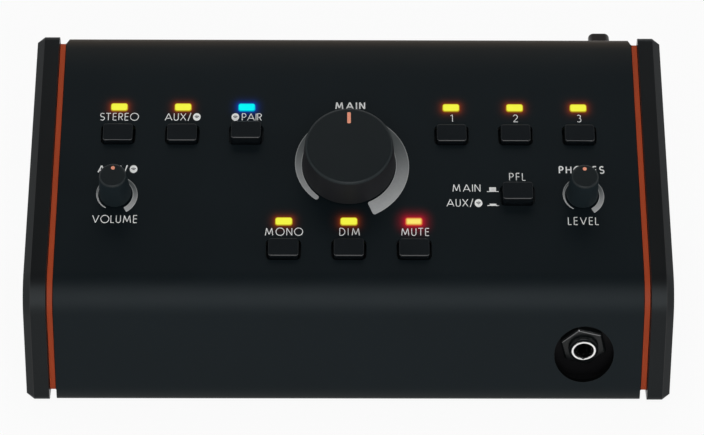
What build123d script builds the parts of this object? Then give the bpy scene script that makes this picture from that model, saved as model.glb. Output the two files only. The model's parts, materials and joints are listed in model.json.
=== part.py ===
from build123d import *
from math import cos, radians, sin, tan
import os

# A desktop monitor controller: a folded metal wedge between two thick side cheeks, with a coloured plate
# in the gap on each side. Millimetres. +X is the user's right, +Y the rear, +Z up. The origin is the centre
# of the underside of the bounding box.

os.makedirs("parts", exist_ok=True)

# ---- Casing sizes ----
shell_width = 196.3
shell_depth = 105.3        # bottom front edge to rear edge
front_slant = 40.1         # up the front face, to where it would meet the panel
front_lean = 16.1          # degrees, back from vertical
panel_slope = 21.6         # degrees, up towards the rear
sheet = 1.5
front_bend = 18.0          # outer radius between front face and panel
edge_bend = 2.0            # outer radius of the two small bends
front_return = 11.0        # shell's lip under the pan
lip_to_button = 0.8        # shell's rear lip ends this far above the power button's hole
corner_notch = (0.9, 1.9, 3.7)  # relief at the rear corners: across, down the panel inside and outside
spacer_thickness = 2.4
spacer_inset = 1.6         # behind the shell's outline
spacer_raise = 3.2         # its lower edge above the shell's underside
spacer_round = 0.4
cheek_thickness = 7.75
cheek_overhang = 0.45      # beyond the shell's front, panel and rear
cheek_round = 2.1
cheek_chamfer = (2.6, 2.0)  # across the thickness, down the face
pan_sheet = 1.2
fold_gap = 0.1             # between one folded sheet and the next
rear_sheet = 1.5
rear_tab = 4.2             # pan's upturned edge that the rear panel is screwed to
foot_radius = 6.0
foot_reach = 2.5           # below the shell's underside
foot_round = 0.6
foot_margin = (22.0, 14.0)  # foot centre from the shell's side, from its rear edge
foot_gap = 2.0             # between the shell's front lip and the front feet

# ---- Fasteners and fits ----
screw_r = 1.5
screw_clearance = 0.2
head_r = 2.6
head_height = 1.8
thread_depth = 5.0
shaft_fit = 0.05           # radial, knob shaft in its bushing
part_gap = 0.3             # between a moving piece and what it passes
cheek_screw_front = (15.0, 35.0)  # lower and upper one, back from the bottom front edge
cheek_screw_rear = 13.0    # in from the rear edge
cheek_screw_low = 11.0     # lower pair, above the shell's underside
cheek_screw_drop = (8.6, 11.4)  # upper front and upper rear one, below the panel's face
base_screw_margin = 7.0    # back from the bottom front edge
base_screw_side = 27.5     # outer base screws, in from the shell's side
rear_screw_side = 21.5     # outer rear panel screws, in from the shell's side
bracket_screw_half = 6.5   # phones bracket's screws, each side of the socket
bracket_screw_back = 8.4   # and behind the bracket's plate

# ---- Panel layout: upper rows down from the rear edge, the rest up from the large bend ----
button_pitch = 21.85
column_side = 19.4         # outer column and side knobs, in from the shell's side
upper_led_u = 29.3
upper_button_u = 40.1
lower_led_rise = 27.5
lower_button_rise = 16.9
pfl_rise = 37.7
main_knob_rise = 49.6
side_knob_rise = 37.8

# ---- Buttons and lenses ----
button_size = (10.2, 6.7)
button_corner = 1.0
button_edge = 0.45         # rounding of the cap's top edge
button_hole_gap = (0.8, 0.6)  # across, down the panel
button_flange = 1.2        # retaining step, both its width all round and its thickness
button_out = 3.8           # cap above the panel when it is out
button_in = 2.0            # cap above the panel when it is latched in
button_travel = 2.6
stem_size = 3.0
stem_grip = 2.0            # stem inside its switch when the button is out
switch_size = 8.4
lens_size = (5.8, 3.0)
lens_corner = 0.9
lens_proud = 0.25
lens_gap = 0.1
lens_flange = 0.8
led_size = (5.0, 2.8)
led_height = 2.0

# ---- Knobs and potentiometers ----
main_knob_r = (15.8, 14.8)  # at the skirt, at the top
main_knob_height = 13.0
main_knob_rim = 1.2
side_knob_r = (5.35, 4.55)
side_knob_height = 13.3
side_knob_rim = 0.9
knob_lift = 0.8            # skirt above the panel
skirt_recess = 1.0         # under a side knob's skirt, round its shaft
knob_crown = 3.0           # knob's solid top above its shaft
shaft_r = 3.0
main_pointer = (1.2, 4.3)
pointer_corner = 0.3
side_pointer_r = 0.65
main_pointer_margin = 1.9  # from the knob's rim
side_pointer_margin = 1.5
pointer_depth = 0.4
main_pot_size = (16.0, 16.0, 7.0)
main_bushing_r = 4.0
main_bushing_reach = 2.8   # above the panel
side_pot_size = (9.8, 11.0, 7.0)
side_bushing_r = 3.6
bushing_gap = 0.1
pot_floor = 1.0            # under the shaft's bore
washer_r = 6.0
washer_thickness = 0.5
pot_nut_flats = 11.0
pot_nut_thickness = 2.0
nut_recess_r = 7.2
nut_recess_height = 4.0

# ---- Boards ----
board_thickness = 1.6
board_drop = 12.0          # control board's top below the panel's face
control_board_side = 4.5   # in from the shell's side
control_board_ends = (12.0, 9.3)  # in from the panel's rear edge and from the large bend
standoff_r = 2.5
upper_standoff_u = 19.0
lower_standoff_rise = 15.3
lower_standoff_side = (3.5, 51.0)  # outer and inner pair, in from the control board's side
main_standoff = 5.0
main_board_side = 5.5      # in from the shell's side
main_board_front = 46.0    # back from the bottom front edge
main_board_rear = 1.9      # in from the rear panel
main_standoff_edge = (3.5, 4.0)  # outer standoffs, in from the main board's side and front
middle_standoff_x = 4.75
header_size = (24.0, 6.0, 6.0)
ribbon_x = -44.0
ribbon_width = 20.0
ribbon_thickness = 0.9
ribbon_u = 49.0
ribbon_bend = 5.0
ribbon_lead = 2.5          # straight run at each header, before the bend
relay_size = (9.0, 13.0, 10.0)
relay_count = 5
relay_x = 14.0
relay_side = 20.0          # last relay, in from the main board's side
capacitor_r = 4.0
capacitor_height = 12.0
capacitor_x = (-24.0, -14.0, -4.0)
module_size = (18.0, 13.0, 2.6)
module_side = 16.0         # in from the main board's side

# ---- Phones socket ----
phones_side = 19.4         # in from the shell's side
phones_up = 18.1           # up the front face
phones_hole_r = 10.0       # cut along the socket's axis
plug_bore_r = 3.25         # 6.35 mm plug
ring_r = 4.2
ring_length = 8.0
ring_lip = 0.3
ring_round = 0.25
ring_recess = 1.7          # ring's front behind the face, at its axis
nose_r = 4.85
nut_set_back = 1.5         # nut behind the nose
phones_nut_flats = 14.0
phones_nut_thickness = 2.6
phones_nut_turn = 44.0     # degrees
nut_edge = 0.5
socket_body = (15.0, 14.0, 27.0)
bracket_sheet = 1.5
bracket_half = 11.0
bracket_top = 12.0         # above the socket's axis
bracket_foot = 14.0
contact_size = (2.4, 16.0, 0.5)
contact_pitch = 4.6

# ---- Rear panel ----
rear_jack_side = (17.5, 48.0)  # first and last one, in from the shell's left and right side
rear_jack_count = 8
rear_nose_reach = 4.0
rear_nut_flats = 12.7
rear_nut_thickness = 2.2
rear_nose_r = 4.7
socket_hole_gap = 0.2
aux_side = 31.5            # in from the shell's side
aux_bore_r = 1.8
aux_nose_r = 3.0
aux_nose_reach = 1.5
aux_body = (9.0, 11.0, 14.0)
aux_bore_depth = 14.0
inlet_side = 15.5          # in from the shell's side
inlet_body = (10.0, 12.0, 14.0)
inlet_bore_r = 3.1
inlet_hole_gap = 1.0
inlet_depth = 10.0
inlet_pin_r = 1.0
power_side = 10.2          # in from the shell's side
power_cap = (7.4, 7.4)     # across, up
power_cap_corner = 1.9
power_reach = 9.0          # cap beyond the shell's rear edge
power_cap_round = 1.2
power_stem_r = 1.4
power_travel = (2.5, 0.8)  # out from latched, further in
power_switch_size = (8.0, 8.0, 8.5)
power_switch_wall = 0.3    # above the stem's hole
power_stem_grip = 4.0

# ---- Datum planes ----
lean = radians(front_lean)
slope = radians(panel_slope)
knee_y = front_slant * sin(lean)
knee_z = front_slant * cos(lean)
rear_height = knee_z + (shell_depth - knee_y) * tan(slope)
cheek_toe = cheek_round / tan(radians(90 - front_lean) / 2) - cheek_round  # its rounding takes off this much
cheek_front = cheek_overhang / cos(lean) - cheek_toe
front_y = (cheek_front - shell_depth - power_reach) / 2
rear_y = front_y + shell_depth
base_z = foot_reach
top_z = base_z + rear_height

panel_length = (shell_depth - knee_y) / cos(slope)
panel_normal = Vector(0, -sin(slope), cos(slope))
panel = Plane(origin=(0, rear_y, top_z), x_dir=(1, 0, 0), z_dir=panel_normal)
pan_floor = base_z + sheet + pan_sheet
main_board_z = pan_floor + main_standoff + board_thickness
rear_outer_y = rear_y - sheet - fold_gap
rear_inner_y = rear_outer_y - rear_sheet
rear_face = Plane(origin=(0, rear_outer_y, 0), x_dir=(-1, 0, 0), z_dir=(0, 1, 0))
under_pan = Plane.XY.offset(base_z)
over_pan = Plane.XY.offset(pan_floor)
on_board = Plane.XY.offset(main_board_z)


def on_panel(x, u, height=0.0):
    """Plane on the panel, x across and u down from its rear edge."""
    return Plane(origin=panel.from_local_coords((x, -u, height)), x_dir=(1, 0, 0), z_dir=panel.z_dir)


def section_of(plane):
    """Plane through the given plane's axis, in which y is the height along that axis."""
    return Plane(origin=plane.origin, x_dir=plane.x_dir, z_dir=-plane.y_dir)


def wedge(inset, bottom):
    """Side outline of the casing, moved inwards from front, panel and rear, and cut off at a height."""
    front_offset = inset / cos(lean)
    panel_offset = inset / cos(slope)
    rear = rear_y - inset
    rear_top = top_z - inset * tan(slope) - panel_offset
    # where the moved front and panel lines meet
    rise = knee_z - knee_y * tan(slope) - panel_offset + front_offset * tan(slope)
    corner_z = rise / (1 - tan(lean) * tan(slope))
    corner_y = front_y + front_offset + corner_z * tan(lean)
    front_bottom = front_y + front_offset + (bottom - base_z) * tan(lean)
    return [(front_bottom, bottom), (corner_y, base_z + corner_z), (rear, rear_top), (rear, bottom)]


def panel_height(y):
    """Height of the panel's face at a place along Y."""
    return top_z - (rear_y - y) * tan(slope)


def outline(inset, bottom, bends):
    """The outline with its bends: bottom front, knee, rear top, bottom rear."""
    return FilletPolyline(*wedge(inset, bottom), radius=bends, close=True)


# ---- Where the controls are ----
side_knob_x = shell_width / 2 - column_side
column_x = (-side_knob_x, button_pitch - side_knob_x, 2 * button_pitch - side_knob_x)
lower_led_u = panel_length - lower_led_rise
lower_button_u = panel_length - lower_button_rise
pfl_u = panel_length - pfl_rise
main_knob_u = panel_length - main_knob_rise
side_knob_u = panel_length - side_knob_rise
buttons = {
    "stereo_button": (column_x[0], upper_button_u, button_in),
    "aux_button": (column_x[1], upper_button_u, button_in),
    "pair_button": (column_x[2], upper_button_u, button_out),
    "output_1_button": (-column_x[2], upper_button_u, button_in),
    "output_2_button": (-column_x[1], upper_button_u, button_in),
    "output_3_button": (-column_x[0], upper_button_u, button_in),
    "mono_button": (-button_pitch, lower_button_u, button_in),
    "dim_button": (0.0, lower_button_u, button_in),
    "mute_button": (button_pitch, lower_button_u, button_in),
    "pfl_button": (-column_x[1], pfl_u, button_out),
}
button_spots = [(x, -u) for x, u, _ in buttons.values()]
blue_spot = (column_x[2], -upper_led_u)
red_spot = (button_pitch, -lower_led_u)
amber_spots = [(x, -upper_led_u) for x in column_x[:2]]
amber_spots += [(-x, -upper_led_u) for x in column_x]
amber_spots += [(-button_pitch, -lower_led_u), (0.0, -lower_led_u)]
lens_spots = amber_spots + [blue_spot, red_spot]
main_knob_plane = on_panel(0.0, main_knob_u)
volume_plane = on_panel(-side_knob_x, side_knob_u)
phones_plane = on_panel(side_knob_x, side_knob_u)
rear_jack_x0 = rear_jack_side[0] - shell_width / 2
rear_jack_pitch = (shell_width - sum(rear_jack_side)) / (rear_jack_count - 1)
rear_jack_x = [rear_jack_x0 + n * rear_jack_pitch for n in range(rear_jack_count)]
aux_x = shell_width / 2 - aux_side
inlet_x = shell_width / 2 - inlet_side
power_x = shell_width / 2 - power_side
socket_z = main_board_z + socket_body[1] / 2
switch_end = rear_y - rear_inner_y + power_switch_size[2]
power_switch_top = top_z - switch_end * tan(slope) - sheet / cos(slope) - part_gap
power_z = power_switch_top - power_switch_wall - part_gap - power_stem_r
rear_lip = top_z - power_z - power_cap[1] / 2 - part_gap - lip_to_button
phones_x = shell_width / 2 - phones_side
phones_z = base_z + phones_up * cos(lean)
phones_mouth_y = front_y + phones_up * sin(lean) + ring_recess
phones_axis = Plane(origin=(phones_x, phones_mouth_y, phones_z), x_dir=(1, 0, 0), z_dir=(0, -1, 0))
nose_front = -ring_lip
nut_front = nose_front - nut_set_back
bracket_front = nut_front - phones_nut_thickness

# ---- Screw places ----
cheek_front_y, upper_front_y = [front_y + back for back in cheek_screw_front]
cheek_rear_y = rear_y - cheek_screw_rear
cheek_low_z = base_z + cheek_screw_low
cheek_screw_spots = [(cheek_front_y, cheek_low_z), (cheek_rear_y, cheek_low_z)]
cheek_screw_spots += [(upper_front_y, panel_height(upper_front_y) - cheek_screw_drop[0])]
cheek_screw_spots += [(cheek_rear_y, panel_height(cheek_rear_y) - cheek_screw_drop[1])]
base_screw_x = shell_width / 2 - base_screw_side
base_screw_spots = [(x, front_y + base_screw_margin) for x in (-base_screw_x, 0.0, base_screw_x)]
rear_screw_x = shell_width / 2 - rear_screw_side
rear_screw_spots = [(x, pan_floor + rear_tab / 2) for x in (-rear_screw_x, 0.0, rear_screw_x)]
bracket_foot_y = phones_mouth_y - bracket_front + bracket_sheet
bracket_screw_y = bracket_foot_y + bracket_screw_back
bracket_screw_spots = [(phones_x + side * bracket_screw_half, bracket_screw_y) for side in (-1, 1)]
bracket_top_plane = over_pan.offset(bracket_sheet)
upper_standoff_x = -(column_x[0] + column_x[1]) / 2
main_board_half = shell_width / 2 - main_board_side
main_board_y = front_y + main_board_front
outer_standoff_x = main_board_half - main_standoff_edge[0]
main_standoff_y = main_board_y + main_standoff_edge[1]
main_standoff_spots = [(x, main_standoff_y) for x in (-outer_standoff_x, middle_standoff_x, outer_standoff_x)]
row_y = (main_board_y + rear_inner_y - socket_body[2]) / 2  # between the board's front and the rear sockets

# ---- Casing ----

# Top shell: front face, large bend, sloping panel and lips, folded from one sheet
inner_edge_bend = edge_bend - sheet
with BuildPart() as top_shell:
    with BuildSketch(Plane.YZ):
        with BuildLine():
            outline(0.0, base_z, [edge_bend, front_bend, edge_bend, 0.0])
        make_face()
        with BuildLine():
            inner = [inner_edge_bend, front_bend - sheet, inner_edge_bend, 0.0]
            outline(sheet, base_z + sheet, inner)
        make_face(mode=Mode.SUBTRACT)
        with Locations((front_y + front_return, base_z)):
            cut = (2 * shell_depth, 2 * (sheet + fold_gap))
            Rectangle(*cut, align=(Align.MIN, Align.CENTER), mode=Mode.SUBTRACT)
        with Locations((rear_y, base_z)):
            Rectangle(4 * sheet, 2 * (rear_height - rear_lip), mode=Mode.SUBTRACT)
    extrude(amount=shell_width / 2, both=True)
    with BuildSketch(panel):
        with Locations(*button_spots):
            hole = [size + 2 * gap for size, gap in zip(button_size, button_hole_gap)]
            RectangleRounded(*hole, button_corner + button_hole_gap[0])
        with Locations(*lens_spots):
            hole = [size + 2 * lens_gap for size in lens_size]
            RectangleRounded(*hole, lens_corner + lens_gap)
        with Locations((0.0, -main_knob_u)):
            Circle(main_bushing_r + bushing_gap)
        with Locations((-side_knob_x, -side_knob_u), (side_knob_x, -side_knob_u)):
            Circle(side_bushing_r + bushing_gap)
    extrude(amount=-2 * sheet, mode=Mode.SUBTRACT)
    with BuildSketch(panel):
        half = shell_width / 2
        with BuildLine():
            Polyline((half - corner_notch[0], sheet), (half + sheet, sheet), (half + sheet, -corner_notch[2]),
                     (half, -corner_notch[2]), (half - corner_notch[0], -corner_notch[1]), close=True)
        make_face()
        mirror(about=Plane.YZ)
    extrude(amount=2 * edge_bend, both=True, mode=Mode.SUBTRACT)
    with BuildSketch(phones_axis):
        Circle(phones_hole_r)
    extrude(amount=2 * phones_hole_r, both=True, mode=Mode.SUBTRACT)
    with BuildSketch(under_pan):
        with Locations(*base_screw_spots):
            Circle(screw_r + screw_clearance)
    extrude(amount=sheet, mode=Mode.SUBTRACT)
top_shell.part.label = "top_shell"
export_step(top_shell.part, "parts/top_shell.step")

# Base pan: floor and two side walls, with an upturned edge at the rear
pan_inset = sheet + fold_gap
pan_rear = rear_inner_y
with BuildPart() as base_pan:
    with BuildSketch(Plane.YZ):
        with BuildLine():
            outline(pan_inset, base_z + sheet, [edge_bend, front_bend - pan_inset, 0.0, 0.0])
        make_face()
        with Locations((pan_rear, base_z)):
            Rectangle(shell_depth, 2 * top_z, align=(Align.MIN, Align.CENTER), mode=Mode.SUBTRACT)
    extrude(amount=shell_width / 2, both=True)
    with BuildSketch(over_pan):
        with Locations((0.0, pan_rear - pan_sheet)):
            Rectangle(shell_width - 2 * pan_sheet, 2 * shell_depth, align=(Align.CENTER, Align.MAX))
    extrude(amount=top_z, mode=Mode.SUBTRACT)
    with BuildSketch(over_pan.offset(rear_tab)):
        with Locations((0.0, pan_rear)):
            Rectangle(shell_width - 2 * pan_sheet, 4 * pan_sheet)
    extrude(amount=top_z, mode=Mode.SUBTRACT)
    with BuildSketch(Plane.YZ.offset(-shell_width)):
        with Locations(*cheek_screw_spots):
            Circle(screw_r + screw_clearance)
    extrude(amount=2 * shell_width, mode=Mode.SUBTRACT)
    with BuildSketch(under_pan):
        with Locations(*base_screw_spots):
            Circle(screw_r)
        with Locations(*main_standoff_spots):
            Circle(screw_r)
        with Locations(*bracket_screw_spots):
            Circle(screw_r)
    extrude(amount=2 * sheet + pan_sheet, mode=Mode.SUBTRACT)
    with BuildSketch(rear_face):
        with Locations(*[(-x, z) for x, z in rear_screw_spots]):
            Circle(screw_r)
    extrude(amount=-(rear_sheet + 2 * pan_sheet), mode=Mode.SUBTRACT)
base_pan.part.label = "base_pan"
export_step(base_pan.part, "parts/base_pan.step")

# Rear panel: flat plate that carries the sockets, hooked under the shell's rear lip
rear_panel_top = top_z - sheet / cos(slope) - (sheet + fold_gap + rear_sheet) * tan(slope) - fold_gap
with BuildPart() as rear_panel:
    with BuildSketch(rear_face):
        with Locations((0.0, base_z + sheet)):
            height = rear_panel_top - base_z - sheet
            Rectangle(shell_width - 2 * fold_gap, height, align=(Align.CENTER, Align.MIN))
        with Locations(*[(-x, socket_z) for x in rear_jack_x]):
            Circle(rear_nose_r + socket_hole_gap, mode=Mode.SUBTRACT)
        with Locations((-aux_x, main_board_z + aux_body[1] / 2)):
            Circle(aux_nose_r + socket_hole_gap, mode=Mode.SUBTRACT)
        with Locations((-inlet_x, main_board_z + inlet_body[1] / 2)):
            Circle(inlet_bore_r + inlet_hole_gap, mode=Mode.SUBTRACT)
        with Locations((-power_x, power_z)):
            hole = [size + 2 * part_gap for size in power_cap]
            RectangleRounded(*hole, power_cap_corner + part_gap, mode=Mode.SUBTRACT)
        with Locations(*[(-x, z) for x, z in rear_screw_spots]):
            Circle(screw_r + screw_clearance, mode=Mode.SUBTRACT)
    extrude(amount=-rear_sheet)
rear_panel.part.label = "rear_panel"
export_step(rear_panel.part, "parts/rear_panel.step")

# Side cheeks and the coloured plates between them and the shell
for side, name in ((-1, "left"), (1, "right")):
    spacer_plane = Plane.YZ.offset(side * shell_width / 2)
    with BuildPart() as spacer:
        with BuildSketch(spacer_plane):
            with BuildLine():
                bends = [spacer_round, front_bend - spacer_inset, spacer_round, 0.0]
                outline(spacer_inset, base_z + spacer_raise, bends)
            make_face()
            with Locations(*cheek_screw_spots):
                Circle(screw_r + screw_clearance, mode=Mode.SUBTRACT)
        extrude(amount=side * spacer_thickness)
    spacer.part.label = f"{name}_spacer"
    export_step(spacer.part, f"parts/{name}_spacer.step")

    cheek_plane = spacer_plane.offset(side * spacer_thickness)
    with BuildPart() as cheek:
        with BuildSketch(cheek_plane):
            with BuildLine():
                bends = [cheek_round, front_bend + cheek_overhang, cheek_round, cheek_round]
                outline(-cheek_overhang, base_z, bends)
            make_face()
        extrude(amount=side * cheek_thickness)
        outer = cheek.faces().sort_by(Axis.X)[-1 if side > 0 else 0]
        chamfer(outer.edges(), length=cheek_chamfer[1], length2=cheek_chamfer[0], reference=outer)
        with BuildSketch(cheek_plane):
            with Locations(*cheek_screw_spots):
                Circle(screw_r)
        extrude(amount=side * thread_depth, mode=Mode.SUBTRACT)
    cheek.part.label = f"{name}_cheek"
    export_step(cheek.part, f"parts/{name}_cheek.step")

# Screws through the pan's side walls into the cheeks
with BuildPart() as cheek_screws:
    for side in (-1, 1):
        wall = Plane.YZ.offset(side * (shell_width / 2 - pan_sheet))
        with BuildSketch(wall):
            with Locations(*cheek_screw_spots):
                Circle(screw_r)
        extrude(amount=side * (pan_sheet + spacer_thickness + thread_depth))
        with BuildSketch(wall):
            with Locations(*cheek_screw_spots):
                Circle(head_r)
        extrude(amount=-side * head_height)
cheek_screws.part.label = "cheek_screws"
export_step(cheek_screws.part, "parts/cheek_screws.step")

# Screws from below through the shell's front lip into the pan, and through the rear panel into the pan
with BuildPart() as casing_screws:
    with BuildSketch(under_pan):
        with Locations(*base_screw_spots):
            Circle(screw_r)
    extrude(amount=sheet + pan_sheet)
    with BuildSketch(under_pan):
        with Locations(*base_screw_spots):
            Circle(head_r)
    extrude(amount=-head_height)
    with BuildSketch(rear_face):
        with Locations(*[(-x, z) for x, z in rear_screw_spots]):
            Circle(screw_r)
    extrude(amount=-(rear_sheet + pan_sheet))
    with BuildSketch(rear_face):
        with Locations(*[(-x, z) for x, z in rear_screw_spots]):
            Circle(head_r)
    extrude(amount=head_height)
casing_screws.part.label = "casing_screws"
export_step(casing_screws.part, "parts/casing_screws.step")

# Rubber feet, stuck under the pan
foot_x = shell_width / 2 - foot_margin[0]
foot_ys = (front_y + front_return + foot_gap + foot_radius, rear_y - foot_margin[1])
with BuildPart() as rubber_feet:
    with BuildSketch(Plane.XY):
        with Locations(*[(x, y) for x in (-foot_x, foot_x) for y in foot_ys]):
            Circle(foot_radius)
    extrude(amount=foot_reach + sheet)
    fillet(rubber_feet.edges().group_by(Axis.Z)[0], foot_round)
rubber_feet.part.label = "rubber_feet"
export_step(rubber_feet.part, "parts/rubber_feet.step")

# ---- Buttons and lenses ----

flange_drop = sheet + fold_gap          # retaining step below the panel's face when the button is out
switch_drop = flange_drop + button_travel + button_flange + part_gap
switch_height = board_drop - switch_drop
cap_height = button_out + flange_drop
for name, (x, u, proud) in buttons.items():
    cap_plane = on_panel(x, u, proud - cap_height)
    with BuildPart() as button:
        with BuildSketch(cap_plane):
            RectangleRounded(*button_size, button_corner)
        extrude(amount=cap_height)
        fillet(button.faces().sort_by(Axis(panel.origin, panel.z_dir))[-1].edges(), button_edge)
        with BuildSketch(cap_plane):
            step = [size + 2 * button_flange for size in button_size]
            RectangleRounded(*step, button_corner)
        extrude(amount=-button_flange)
        with BuildSketch(cap_plane.offset(-button_flange)):
            Rectangle(stem_size, stem_size)
        extrude(amount=-(button_travel + part_gap + stem_grip))
    button.part.label = name
    export_step(button.part, f"parts/{name}.step")

with BuildPart() as switch_bodies:
    with BuildSketch(panel.offset(-board_drop)):
        with Locations(*button_spots):
            Rectangle(switch_size, switch_size)
    extrude(amount=switch_height)
    with BuildSketch(panel.offset(-switch_drop)):
        with Locations(*button_spots):
            Rectangle(stem_size + 2 * part_gap, stem_size + 2 * part_gap)
    extrude(amount=-(stem_grip + button_travel + part_gap), mode=Mode.SUBTRACT)
switch_bodies.part.label = "switch_bodies"
export_step(switch_bodies.part, "parts/switch_bodies.step")

led_top = led_height - board_drop
for name, spots in (("amber_lenses", amber_spots), ("blue_lens", [blue_spot]), ("red_lens", [red_spot])):
    with BuildPart() as lenses:
        with BuildSketch(panel.offset(led_top)):
            with Locations(*spots):
                RectangleRounded(*lens_size, lens_corner)
        extrude(amount=lens_proud - led_top)
        with BuildSketch(panel.offset(-sheet)):
            with Locations(*spots):
                step = [size + 2 * lens_flange for size in lens_size]
                RectangleRounded(*step, lens_corner)
        extrude(amount=-lens_flange)
    lenses.part.label = name
    export_step(lenses.part, f"parts/{name}.step")

with BuildPart() as led_packages:
    with BuildSketch(panel.offset(-board_drop)):
        with Locations(*lens_spots):
            Rectangle(*led_size)
    extrude(amount=led_height)
led_packages.part.label = "led_packages"
export_step(led_packages.part, "parts/led_packages.step")

# ---- Knobs ----


def knob_body(plane, radii, height, rim, recess_r, recess_height, mark):
    """Tapered knob with a blind shaft bore, a recess under its skirt and its pointer let into the top."""
    shaft_top = height - knob_crown
    with BuildPart() as knob:
        with BuildSketch(section_of(plane)) as section:
            with BuildLine():
                Polyline((0, shaft_top), (0, height), (radii[1], height), (radii[0], knob_lift),
                         (recess_r, knob_lift), (recess_r, recess_height), (shaft_r, recess_height),
                         (shaft_r, shaft_top), close=True)
            make_face()
            fillet(section.vertices().group_by(Axis.Y)[-1].sort_by(Axis.X)[-1], rim)
        revolve(axis=Axis(plane.origin, plane.z_dir))
        add(mark.part, mode=Mode.SUBTRACT)
    return knob


def knob_shaft(plane, height):
    """Shaft from inside the potentiometer to the end of the knob's bore."""
    with BuildPart() as shaft:
        start = pot_floor + shaft_fit - board_drop
        with BuildSketch(plane.offset(start)):
            Circle(shaft_r)
        extrude(amount=height - knob_crown - start)
    return shaft


def pot_body(plane, size, bushing_r, bushing_top):
    """Potentiometer on the control board, with a bushing through the panel."""
    with BuildPart() as pot:
        with BuildSketch(plane.offset(-board_drop)):
            Rectangle(size[0], size[1])
        extrude(amount=size[2])
        with BuildSketch(plane.offset(size[2] - board_drop)):
            Circle(bushing_r)
        extrude(amount=board_drop - size[2] + bushing_top)
        with BuildSketch(plane.offset(bushing_top)):
            Circle(shaft_r + shaft_fit)
        extrude(amount=pot_floor - board_drop - bushing_top, mode=Mode.SUBTRACT)
    return pot


main_mark_y = main_knob_r[1] - main_pointer_margin - main_pointer[1] / 2
with BuildPart() as main_mark:
    with BuildSketch(main_knob_plane.offset(main_knob_height - pointer_depth)):
        with Locations((0, main_mark_y)):
            RectangleRounded(*main_pointer, pointer_corner)
    extrude(amount=pointer_depth)
main_mark.part.label = "main_pointer"
export_step(main_mark.part, "parts/main_pointer.step")

main_knob = knob_body(main_knob_plane, main_knob_r, main_knob_height, main_knob_rim,
                      nut_recess_r, nut_recess_height, main_mark)
main_knob.part.label = "main_knob"
export_step(main_knob.part, "parts/main_knob.step")

main_shaft = knob_shaft(main_knob_plane, main_knob_height)
main_shaft.part.label = "main_shaft"
export_step(main_shaft.part, "parts/main_shaft.step")

main_pot = pot_body(main_knob_plane, main_pot_size, main_bushing_r, main_bushing_reach)
main_pot.part.label = "main_pot"
export_step(main_pot.part, "parts/main_pot.step")

# Washer and nut that clamp the main potentiometer to the panel
with BuildPart() as main_pot_washer:
    with BuildSketch(main_knob_plane):
        Circle(washer_r)
        Circle(main_bushing_r, mode=Mode.SUBTRACT)
    extrude(amount=washer_thickness)
main_pot_washer.part.label = "main_pot_washer"
export_step(main_pot_washer.part, "parts/main_pot_washer.step")

with BuildPart() as main_pot_nut:
    with BuildSketch(main_knob_plane.offset(washer_thickness)):
        RegularPolygon(pot_nut_flats / 2, 6, major_radius=False)
        Circle(main_bushing_r, mode=Mode.SUBTRACT)
    extrude(amount=pot_nut_thickness)
main_pot_nut.part.label = "main_pot_nut"
export_step(main_pot_nut.part, "parts/main_pot_nut.step")

side_mark_y = side_knob_r[1] - side_pointer_margin - side_pointer_r / 2
for name, plane in (("volume", volume_plane), ("phones", phones_plane)):
    with BuildPart() as side_mark:
        with BuildSketch(plane.offset(side_knob_height - pointer_depth)):
            with Locations((0, side_mark_y)):
                Circle(side_pointer_r)
        extrude(amount=pointer_depth)
    side_mark.part.label = f"{name}_pointer"
    export_step(side_mark.part, f"parts/{name}_pointer.step")

    side_knob = knob_body(plane, side_knob_r, side_knob_height, side_knob_rim,
                          shaft_r + part_gap, knob_lift + skirt_recess, side_mark)
    side_knob.part.label = f"{name}_knob"
    export_step(side_knob.part, f"parts/{name}_knob.step")

    side_shaft = knob_shaft(plane, side_knob_height)
    side_shaft.part.label = f"{name}_shaft"
    export_step(side_shaft.part, f"parts/{name}_shaft.step")

    side_pot = pot_body(plane, side_pot_size, side_bushing_r, 0.0)
    side_pot.part.label = f"{name}_pot"
    export_step(side_pot.part, f"parts/{name}_pot.step")

# ---- Boards ----

control_board_half = shell_width / 2 - control_board_side
control_board_top = -control_board_ends[0]
control_board_bottom = control_board_ends[1] - panel_length
standoff_spots = [(x, -upper_standoff_u) for x in (-upper_standoff_x, 0.0, upper_standoff_x)]
for half in [control_board_half - side for side in lower_standoff_side]:
    standoff_spots += [(x, lower_standoff_rise - panel_length) for x in (-half, half)]
with BuildPart() as control_board:
    with BuildSketch(panel.offset(-board_drop)):
        with Locations((0.0, control_board_top)):
            size = (2 * control_board_half, control_board_top - control_board_bottom)
            Rectangle(*size, align=(Align.CENTER, Align.MAX))
        with Locations(*standoff_spots):
            Circle(screw_r + screw_clearance, mode=Mode.SUBTRACT)
    extrude(amount=-board_thickness)
control_board.part.label = "control_board"
export_step(control_board.part, "parts/control_board.step")

with BuildPart() as panel_standoffs:
    with BuildSketch(panel.offset(-sheet)):
        with Locations(*standoff_spots):
            Circle(standoff_r)
    extrude(amount=sheet - board_drop)
    with BuildSketch(panel.offset(-board_drop)):
        with Locations(*standoff_spots):
            Circle(screw_r)
    extrude(amount=thread_depth, mode=Mode.SUBTRACT)
panel_standoffs.part.label = "panel_standoffs"
export_step(panel_standoffs.part, "parts/panel_standoffs.step")

with BuildPart() as main_board:
    with BuildSketch(on_board):
        with Locations((0.0, main_board_y)):
            size = (2 * main_board_half, rear_inner_y - main_board_rear - main_board_y)
            Rectangle(*size, align=(Align.CENTER, Align.MIN))
        with Locations(*main_standoff_spots):
            Circle(screw_r + screw_clearance, mode=Mode.SUBTRACT)
    extrude(amount=-board_thickness)
main_board.part.label = "main_board"
export_step(main_board.part, "parts/main_board.step")

with BuildPart() as main_standoffs:
    with BuildSketch(over_pan):
        with Locations(*main_standoff_spots):
            Circle(standoff_r)
            Circle(screw_r, mode=Mode.SUBTRACT)
    extrude(amount=main_standoff)
main_standoffs.part.label = "main_standoffs"
export_step(main_standoffs.part, "parts/main_standoffs.step")

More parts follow.
